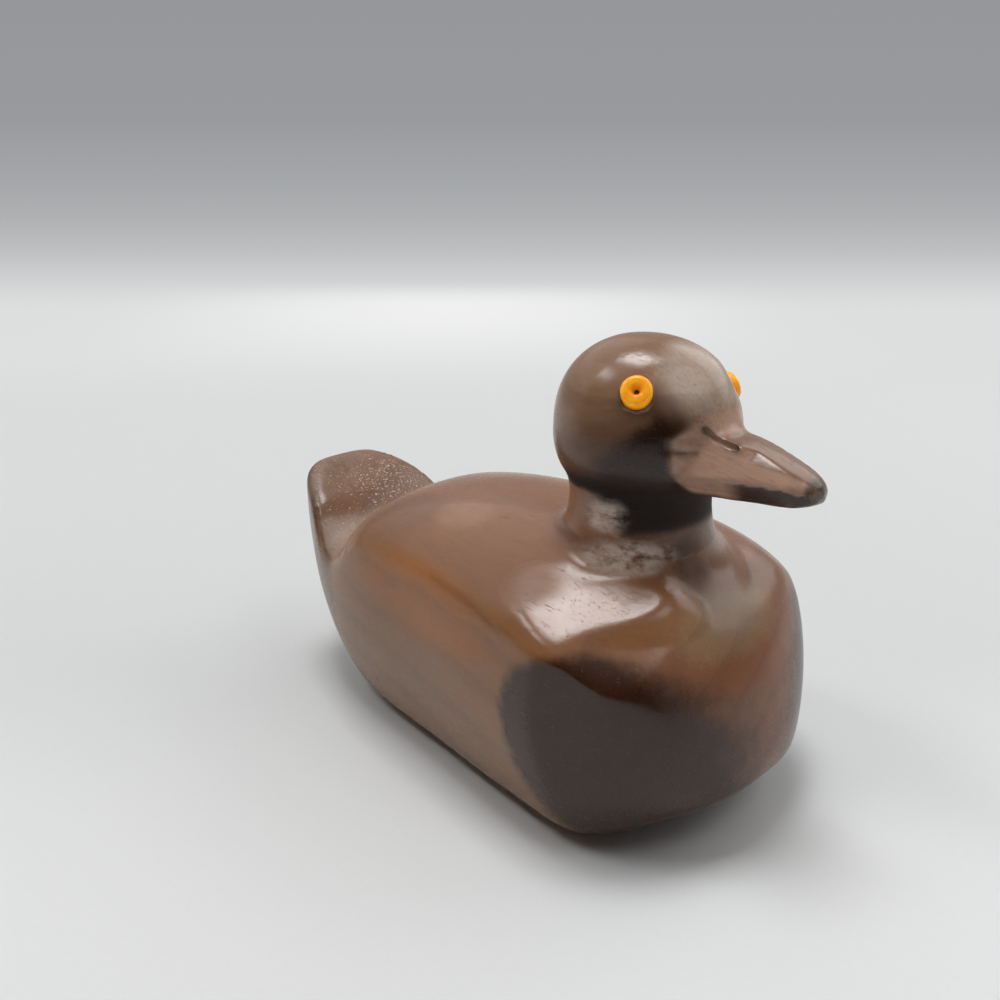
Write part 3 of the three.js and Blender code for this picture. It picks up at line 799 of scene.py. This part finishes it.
def stained_wood(name, stain_lines, low_stain, high_stain, stains):
    """Stained and lacquered wood: one stain below, one above, and others laid over them by the masks."""
    finish, tree, shader = new_finish(name)
    low, high = stain_lines
    place = in_millimetres(tree)
    figure = add_node(tree, "ShaderNodeGroup", node_tree=wood_figure)
    tree.links.new(place, figure.inputs["Place"])
    fibre, pore = figure.outputs["Fibre"], figure.outputs["Pore"]
    ring, cloud = figure.outputs["Ring"], figure.outputs["Cloud"]

    height_up = add_node(tree, "ShaderNodeSeparateXYZ", {0: place}).outputs["Z"]
    drift = times(tree, minus(tree, cloud, 0.5), (high - low) * STAIN_DRIFT)
    colour = mixed(tree, ease(tree, plus(tree, height_up, drift), low, high), low_stain, high_stain)
    cloudy = times(tree, minus(tree, noise(tree, place, 0.45, 4.0), 0.5), FRAY_CLOUD)
    streaky = times(tree, minus(tree, fibre, 0.5), FRAY_STREAK)
    ragged = plus(tree, cloudy, streaky)
    for mask, stain, strength in stains:
        share = mask_on(tree, mask)
        frayed = ease(tree, plus(tree, share, times(tree, ragged, FRAY)), 0.1, 0.95)
        frayed = times(tree, frayed, ease(tree, share, 0.0, 0.3))
        colour = mixed(tree, times(tree, frayed, strength), colour, stain)

    # Painted highlight: pale blotchy sheen laid over the neck's foot and side.
    blotches = noise(tree, vector_maths(tree, "MULTIPLY", place, SHEEN_BLOTCH_STRETCH), 1.0, 4.0, 0.6)
    painted_neck_sheen = times(tree, mask_on(tree, "painted_neck_sheen"), ease(tree, blotches, 0.30, 0.60))
    colour = mixed(tree, times(tree, painted_neck_sheen, NECK_SHEEN_STRENGTH), colour, NECK_SHEEN_PALE)
    tone = plus(tree, times(tree, fibre, 0.5), 0.74)
    tone = times(tree, tone, plus(tree, times(tree, cloud, 0.5), 0.76))
    colour = mixed(tree, 1.0, colour, evenly(tree, tone), "MULTIPLY")
    colour = mixed(tree, times(tree, ring, RING_STRENGTH), colour, DARKEST)
    colour = mixed(tree, times(tree, pore, PORE_STRENGTH), colour, DARKEST)
    colour = mixed(tree, times(tree, mask_on(tree, "knife_lines"), LINE_STRENGTH), colour, DARKEST)
    worn = times(tree, mask_on(tree, "worn"), ease(tree, noise(tree, place, 0.8, 4.0), 0.42, 0.62))
    colour = mixed(tree, times(tree, worn, WEAR_STRENGTH), colour, RUBBED)
    dust = mask_on(tree, "dust")
    grains = plus(tree, noise(tree, place, 2.6, 1.0), times(tree, dust, 0.12))
    grains = times(tree, ease(tree, grains, 0.72, 0.76), ease(tree, dust, 0.05, 0.5))
    colour = mixed(tree, times(tree, grains, DUST_STRENGTH), colour, DUST)

    sheen = plus(tree, times(tree, noise(tree, place, 0.22, 3.0), GLOSS_CHANGE), GLOSS)
    for mask, dullness in DULLNESS:
        sheen = plus(tree, sheen, times(tree, mask_on(tree, mask), dullness))
    sheen = plus(tree, sheen, times(tree, plus(tree, pore, grains), PORE_DULLNESS))
    height = minus(tree, times(tree, fibre, 0.3), times(tree, pore, 0.5))
    height = plus(tree, height, times(tree, grains, 1.5))
    height = plus(tree, height, times(tree, noise(tree, place, 0.5, 3.0), 3.0))
    bump = add_node(tree, "ShaderNodeBump", {"Height": height, "Strength": 0.4, "Distance": SKIN_RELIEF * MM})
    tree.links.new(colour, shader.inputs["Base Color"])
    tree.links.new(sheen, shader.inputs["Roughness"])
    tree.links.new(bump.outputs[0], shader.inputs["Normal"])
    shader.inputs["IOR"].default_value = LACQUER_IOR
    return finish


body_wood = stained_wood("stained_body_wood", BODY_STAIN_LINES, FLANK_LOW, FLANK_HIGH, BODY_STAINS)
head_wood = stained_wood("stained_head_wood", HEAD_TONE_HEIGHTS, SKULL_LOW, SKULL_HIGH, HEAD_STAINS)
for piece, wood, node in ((carved_body, body_wood, "body"), (carved_head, head_wood, "head")):
    piece.data.materials.clear()
    piece.data.materials.append(wood)
    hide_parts(node)
    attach(piece, "root")

# The dowel in the neck: a short turned peg of plain pale wood, glued into a blind hole in the body and
# in the head. It is hidden once the head is on, so its CAD solid is kept and only gets its wood.
DOWEL_RING_WIDTH = 1.6
DOWEL_DARK = (0.42, 0.25, 0.12, 1)
DOWEL_PALE = (0.60, 0.40, 0.22, 1)
DOWEL_RING = (0.30, 0.16, 0.07, 1)

dowel_wood, tree, shader = new_finish("bare_dowel_wood")
figure = add_node(tree, "ShaderNodeGroup", node_tree=wood_figure)
tree.links.new(in_millimetres(tree, (math.radians(90), 0, 0)), figure.inputs["Place"])
figure.inputs["Ring Width"].default_value = DOWEL_RING_WIDTH
pale = mixed(tree, figure.outputs["Fibre"], DOWEL_DARK, DOWEL_PALE)
pale = mixed(tree, times(tree, figure.outputs["Ring"], 0.6), pale, DOWEL_RING)
tree.links.new(pale, shader.inputs["Base Color"])
bump = add_node(tree, "ShaderNodeBump", {"Height": figure.outputs["Fibre"], "Distance": 0.05 * MM})
tree.links.new(bump.outputs[0], shader.inputs["Normal"])
shader.inputs["Roughness"].default_value = 0.7
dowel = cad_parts["neck_dowel"]
dowel.data.materials.clear()
dowel.data.materials.append(dowel_wood)

# The eyes: short orange glass beads, round-shouldered, let into the sockets with the hole facing out.
# The glass is cloudy, carries a faint painted glow of its own that stands for light passing through it, and
# is deeper round the hole.
BEAD_OUTER = 2.0
BEAD_HOLE = 0.45
BEAD_LENGTH = 2.4
BEAD_CORNER = 0.62
AMBER = (0.96, 0.36, 0.006, 1)
AMBER_PALE = (1.0, 0.50, 0.02, 1)
AMBER_DEEP = (0.62, 0.115, 0.001, 1)
AMBER_PAINTED_GLOW = (1.0, 0.36, 0.008, 1)

bead_glass, tree, shader = new_finish("orange_glass")
swirl = noise(tree, in_millimetres(tree), 0.9, 3.0)
amber = mixed(tree, ease(tree, swirl, 0.35, 0.65), AMBER, AMBER_PALE)
amber = mixed(tree, times(tree, mask_on(tree, "by_hole"), 0.85), amber, AMBER_DEEP)
tree.links.new(amber, shader.inputs["Base Color"])
# Painted glow: a faint orange emission standing for light passing through the glass.
shader.inputs["Emission Color"].default_value = AMBER_PAINTED_GLOW
shader.inputs["Emission Strength"].default_value = 0.28
shader.inputs["Roughness"].default_value = 0.3
shader.inputs["Subsurface Weight"].default_value = 0.6
shader.inputs["Subsurface Scale"].default_value = 1.2 * MM
shader.inputs["Subsurface Radius"].default_value = (1.0, 0.45, 0.12)


def spun_ring(name, inner, outer, length, corner):
    """A ring spun from a rounded section about Z, in millimetres."""
    bpy.ops.object.select_all(action="DESELECT")
    bpy.ops.mesh.primitive_plane_add(size=1, location=(0, 0, 0))
    piece = bpy.context.object
    piece.name = name
    piece.data.name = name
    section = Matrix.Translation(Vector(((inner + outer) / 2, 0, 0)) * MM)
    section = section @ Matrix.Rotation(math.radians(90), 4, "X")
    piece.data.transform(section @ Matrix.Diagonal(Vector(((outer - inner) * MM, length * MM, 1, 1))))
    bpy.ops.object.mode_set(mode="EDIT")
    bpy.ops.mesh.select_all(action="SELECT")
    bpy.ops.mesh.bevel(offset=corner * MM, offset_type="OFFSET", segments=6, affect="VERTICES")
    bpy.ops.mesh.select_all(action="SELECT")
    bpy.ops.mesh.delete(type="ONLY_FACE")
    bpy.ops.mesh.select_all(action="SELECT")
    bpy.ops.mesh.spin(steps=72, angle=math.tau, center=(0, 0, 0), axis=(0, 0, 1))
    bpy.ops.mesh.select_all(action="SELECT")
    bpy.ops.mesh.remove_doubles(threshold=0.001 * MM)
    bpy.ops.mesh.normals_make_consistent(inside=False)
    bpy.ops.object.mode_set(mode="OBJECT")
    bpy.ops.object.shade_smooth()
    return piece


for side, word in ((-1, "right"), (1, "left")):
    bead = spun_ring(word + "_glass_bead", BEAD_HOLE, BEAD_OUTER, BEAD_LENGTH, BEAD_CORNER)
    off_axis = np.hypot(*points_of(bead)[:, :2].T)
    paint(bead, "by_hole", 1 - fade(off_axis, BEAD_HOLE + 0.05, BEAD_HOLE + 0.6))
    move = along_gaze(side, 0)
    move.translation = move.translation * MM
    bead.data.transform(move)
    bead.data.materials.append(bead_glass)
    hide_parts(word + "_eye_bead")
    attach(bead, "root")

# Dried glue squeezed out round each bead: a thin, cloudy, brownish ring, a little lumpy, that sagged
# to the lower side of the socket before it set.
GLUE_INNER = 1.85
GLUE_OUTER = 2.35
GLUE_THICKNESS = 0.7
GLUE_CORNER = 0.3
GLUE_AHEAD = -0.25
GLUE_SAG = 0.3
GLUE_LUMPS = 0.35
GLUE_DARK = (0.13, 0.075, 0.045, 1)
GLUE_PALE = (0.26, 0.18, 0.13, 1)

dried_glue, tree, shader = new_finish("dried_glue")
murk = noise(tree, in_millimetres(tree), 1.1, 4.0)
tree.links.new(mixed(tree, ease(tree, murk, 0.3, 0.7), GLUE_DARK, GLUE_PALE), shader.inputs["Base Color"])
tree.links.new(plus(tree, times(tree, murk, 0.3), 0.25), shader.inputs["Roughness"])
bump = add_node(tree, "ShaderNodeBump", {"Height": murk, "Strength": 0.5, "Distance": 0.1 * MM})
tree.links.new(bump.outputs[0], shader.inputs["Normal"])

for side, word in ((-1, "right"), (1, "left")):
    glue = spun_ring(word + "_glue_ring", GLUE_INNER, GLUE_OUTER, GLUE_THICKNESS, GLUE_CORNER)
    ring_points = points_of(glue)
    lumps = np.array([mathnoise.noise(Vector(p) * 0.9 + Vector((side * 7, 0, 0))) for p in ring_points])
    reach = np.hypot(ring_points[:, 0], ring_points[:, 1])
    swell = fade(reach, GLUE_INNER + 0.2, GLUE_OUTER) * lumps * GLUE_LUMPS
    ring_points[:, :2] *= (1 + swell / reach)[:, None]
    place_points(glue, ring_points)
    move = along_gaze(side, GLUE_AHEAD)
    move.translation = (move.translation + Vector((0, 0, -GLUE_SAG))) * MM
    glue.data.transform(move)
    glue.data.materials.append(dried_glue)
    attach(glue, "root")

# The pins: fine wire nails driven down the beads' holes into the head, darkened with age. Each shows
# only as a dark point in its bead, so the CAD solids are kept and only get their metal.
PIN_DARK = (0.10, 0.05, 0.02, 1)
PIN_BROWN = (0.25, 0.13, 0.05, 1)

pin_metal, tree, shader = new_finish("darkened_pin")
tarnish = noise(tree, in_millimetres(tree), 2.5, 4.0)
tree.links.new(mixed(tree, tarnish, PIN_DARK, PIN_BROWN), shader.inputs["Base Color"])
tree.links.new(ease(tree, tarnish, 0.1, 1.2), shader.inputs["Roughness"])
shader.inputs["Metallic"].default_value = 0.4
for word in ("right", "left"):
    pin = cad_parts[word + "_eye_pin"]
    pin.data.materials.clear()
    pin.data.materials.append(pin_metal)

# The table and the backdrop: one pale sheet of paper that lies flat under the duck, sweeps up behind it
# and greys off above. Sizes are in metres, and its far part is seen at the plain greys given here.
VIEW_TURN = math.radians(46)
CAMERA_PLACE = Vector((-0.107548, -0.095074, 0.086985))
SWEEP_AHEAD = 0.60
SWEEP_RADIUS = 0.10
PAPER_WIDTH = 6
PAPER_LENGTH = 4
PAPER_RISE = 0.14
GLOW_SHIFT = 0.03
# The floor is paler near the camera: painted light that evens out the dark card's shadow.
PAPER_NEAR = (0.77, 0.785, 0.788, 1)
PAPER_BEYOND = (0.628, 0.645, 0.646, 1)
# The colour of the painted pool of light at the middle of the sweep's foot.
PAPER_LIGHT_POOL = (0.87, 0.87, 0.87, 1)
PAPER_STEPS = (
    (0.000, (0.720, 0.735, 0.735, 1)),
    (0.011, (0.640, 0.650, 0.655, 1)),
    (0.028, (0.515, 0.525, 0.532, 1)),
    (0.048, (0.428, 0.438, 0.450, 1)),
    (0.072, (0.372, 0.382, 0.395, 1)),
    (0.110, (0.318, 0.324, 0.340, 1)),
    (0.170, (0.305, 0.309, 0.326, 1)),
)
TOP_STEP = PAPER_STEPS[-1][0]

heading = Vector((math.sin(VIEW_TURN), math.cos(VIEW_TURN), 0))
sideways = Vector((math.cos(VIEW_TURN), -math.sin(VIEW_TURN), 0))
below_camera = Vector((CAMERA_PLACE.x, CAMERA_PLACE.y, 0))
floor_end = below_camera + heading * SWEEP_AHEAD
bpy.ops.object.select_all(action="DESELECT")
bpy.ops.mesh.primitive_plane_add(size=1, location=(0, 0, 0))
paper = bpy.context.object
paper.name = "paper_sweep"
floor_place = Matrix.Translation(floor_end - heading * PAPER_LENGTH / 2) @ Matrix.Rotation(-VIEW_TURN, 4, "Z")
paper.data.transform(floor_place @ Matrix.Diagonal(Vector((PAPER_WIDTH, PAPER_LENGTH, 1, 1))))
bpy.ops.object.mode_set(mode="EDIT")
bpy.ops.mesh.select_mode(type="EDGE")
bpy.ops.mesh.select_all(action="DESELECT")
bpy.ops.object.mode_set(mode="OBJECT")
for edge in paper.data.edges:
    ends = [paper.data.vertices[i].co - floor_end for i in edge.vertices]
    edge.select = all(abs(end.dot(heading)) < 0.001 for end in ends)
bpy.ops.object.mode_set(mode="EDIT")
sweep_centre = floor_end + Vector((0, 0, SWEEP_RADIUS))
bpy.ops.mesh.spin(steps=24, angle=math.radians(90), center=sweep_centre, axis=-sideways)
bpy.ops.mesh.extrude_region_move(TRANSFORM_OT_translate={"value": (0, 0, PAPER_RISE)})
bpy.ops.object.mode_set(mode="OBJECT")
bpy.ops.object.shade_smooth()

paper_finish, tree, shader = new_finish("pale_paper")
here = add_node(tree, "ShaderNodeTexCoord").outputs["Object"]
height_up = add_node(tree, "ShaderNodeSeparateXYZ", {0: here}).outputs["Z"]
fleck = noise(tree, vector_maths(tree, "MULTIPLY", here, (1000, 1000, 1000)), 0.9, 4.0)
tint = evenly(tree, plus(tree, times(tree, fleck, 0.03), 0.985))
shader.inputs["Roughness"].default_value = 0.6
shader.inputs["Specular IOR Level"].default_value = 0.2
rise = {"Value": height_up, "From Min": 0.0, "From Max": TOP_STEP}
ramp = add_node(tree, "ShaderNodeValToRGB", {0: add_node(tree, "ShaderNodeMapRange", rise).outputs[0]})
while len(ramp.color_ramp.elements) < len(PAPER_STEPS):
    ramp.color_ramp.elements.new(0.5)
for element, (lift, grey) in zip(ramp.color_ramp.elements, PAPER_STEPS):
    element.position = lift / TOP_STEP
    element.color = grey
away = vector_maths(tree, "SUBTRACT", here, below_camera + sideways * -GLOW_SHIFT)
off_middle = vector_maths(tree, "DOT_PRODUCT", away, sideways, output="Value")
ahead = vector_maths(tree, "DOT_PRODUCT", away, heading, output="Value")
# Painted light: the floor is paler near the camera, which evens out the dark card's shadow on it.
floor_colour = mixed(tree, ease(tree, ahead, 0.09, 0.17), PAPER_NEAR, PAPER_BEYOND)
tree.links.new(mixed(tree, 1.0, floor_colour, tint, "MULTIPLY"), shader.inputs["Base Color"])
# Painted pool of light: the foot of the sweep is brighter in the middle.
light_pool = minus(tree, 1.0, ease(tree, maths(tree, "ABSOLUTE", off_middle), 0.0, 0.24))
light_pool = times(tree, light_pool, minus(tree, 1.0, ease(tree, height_up, 0.0, 0.012)))
light_pool = times(tree, light_pool, ease(tree, ahead, 0.34, 0.6))
seen_colour = mixed(tree, light_pool, ramp.outputs[0], PAPER_LIGHT_POOL)
seen_paper = add_node(tree, "ShaderNodeEmission", {"Color": seen_colour})
rays = add_node(tree, "ShaderNodeLightPath").outputs
seen = maths(tree, "MAXIMUM", rays["Is Camera Ray"], rays["Is Glossy Ray"])
seen = maths(tree, "MAXIMUM", seen, rays["Is Transmission Ray"])
far_off = maths(tree, "MAXIMUM", ease(tree, ahead, 0.27, 0.46), ease(tree, height_up, 0.0, 0.004))
seen = times(tree, seen, far_off)
blend = add_node(tree, "ShaderNodeMixShader", {0: seen, 1: shader.outputs[0], 2: seen_paper.outputs[0]})
tree.links.new(blend.outputs[0], tree.nodes["Material Output"].inputs[0])
paper.data.materials.append(paper_finish)

# Soft lamps: a small one high overhead, one behind the duck's right side, a broad one at its left, a
# dim broad one behind it and a small one before it. A lamp's row: name, bearing from straight ahead
# and height in degrees, distance in metres, width and height in degrees, and strength.
DUCK_MIDDLE = Vector((0, 0.004, 0.03))
LAMPS = (
    ("top_softbox", 165, 81, 2.0, 18, 18, 14.5),
    ("left_softbox", -125, 55, 0.5, 18, 18, 8.0),
    ("right_softbox", 76, 36, 0.7, 50, 36, 1.4),
    ("back_softbox", -170, 45, 2.0, 100, 42, 0.5),
    ("front_softbox", 12, 56, 2.0, 20, 20, 2.2),
)
ROOM_COLOUR = (1.0, 0.98, 0.96, 1)
ROOM_STRENGTH = 0.3


def bearing(turn, lift, reach):
    """A place seen from the duck, by degrees round from straight ahead and up from the table."""
    turn, lift = math.radians(turn), math.radians(lift)
    way = Vector((math.sin(turn) * math.cos(lift), -math.cos(turn) * math.cos(lift), math.sin(lift)))
    return DUCK_MIDDLE + way * reach


def softbox(name, turn, lift, reach, wide, high, strength):
    """An evenly lit panel facing the duck, so many degrees wide and high as the duck sees it."""
    width = 2 * reach * math.tan(math.radians(wide / 2))
    height = 2 * reach * math.tan(math.radians(high / 2))
    lamp = bpy.data.lights.new(name, "AREA")
    lamp.shape = "RECTANGLE"
    lamp.size = width
    lamp.size_y = height
    lamp.energy = strength * math.pi * width * height
    panel = bpy.data.objects.new(name, lamp)
    bpy.context.collection.objects.link(panel)
    panel.location = bearing(turn, lift, reach)
    panel.rotation_euler = (panel.location - DUCK_MIDDLE).to_track_quat("Z", "Y").to_euler()
    panel.visible_camera = False


for row in LAMPS:
    softbox(*row)

room = bpy.data.worlds.new("room")
bpy.context.scene.world = room
room.use_nodes = True
room.node_tree.nodes["Background"].inputs["Color"].default_value = ROOM_COLOUR
room.node_tree.nodes["Background"].inputs["Strength"].default_value = ROOM_STRENGTH

# A dark cloth card stands round the camera's side, as the dim room does in front of a lit table. It is
# seen only as the dark that the lacquer mirrors. Sizes are in metres, and bearings in degrees.
CARD_RADIUS = 0.30
CARD_HEIGHT = 0.46
CARD_START = -135
CARD_TURN = 130
CLOTH_DARK = (0.018, 0.009, 0.006, 1)
CLOTH_PALE = (0.04, 0.022, 0.015, 1)

bpy.ops.object.select_all(action="DESELECT")
bpy.ops.mesh.primitive_plane_add(size=1, location=(0, 0, 0))
card = bpy.context.object
card.name = "dark_card"
select_only(card)
bpy.ops.object.mode_set(mode="EDIT")
bpy.ops.mesh.delete(type="ONLY_FACE")
bpy.ops.object.mode_set(mode="OBJECT")
first_post = bearing(CARD_START, 0, CARD_RADIUS)
for vertex, lift in zip(card.data.vertices, (0, CARD_HEIGHT, 0, CARD_HEIGHT)):
    vertex.co = Vector((first_post.x, first_post.y, lift))
bpy.ops.object.mode_set(mode="EDIT")
bpy.ops.mesh.select_all(action="SELECT")
bpy.ops.mesh.remove_doubles(threshold=0.0001)
bpy.ops.mesh.select_all(action="SELECT")
bpy.ops.mesh.spin(steps=40, angle=math.radians(CARD_TURN), center=DUCK_MIDDLE, axis=(0, 0, -1))
bpy.ops.object.mode_set(mode="OBJECT")
card_cloth, tree, shader = new_finish("dark_cloth")
weave = noise(tree, add_node(tree, "ShaderNodeTexCoord").outputs["Object"], 60.0, 3.0)
tree.links.new(mixed(tree, weave, CLOTH_DARK, CLOTH_PALE), shader.inputs["Base Color"])
shader.inputs["Roughness"].default_value = 0.95
card.data.materials.append(card_cloth)
card.visible_camera = False

# The camera stands close to the duck's right breast and looks a little down on it, through an
# ordinary lens.
CAMERA_TILT = math.radians(71)

lens = bpy.data.cameras.new("near_view")
lens.sensor_width = 36
lens.lens = 36
lens.clip_start = 0.01
camera = bpy.data.objects.new("near_view", lens)
bpy.context.collection.objects.link(camera)
camera.location = CAMERA_PLACE
camera.rotation_euler = (CAMERA_TILT, 0, -VIEW_TURN)
bpy.context.scene.camera = camera
bpy.context.scene.view_settings.view_transform = "Standard"
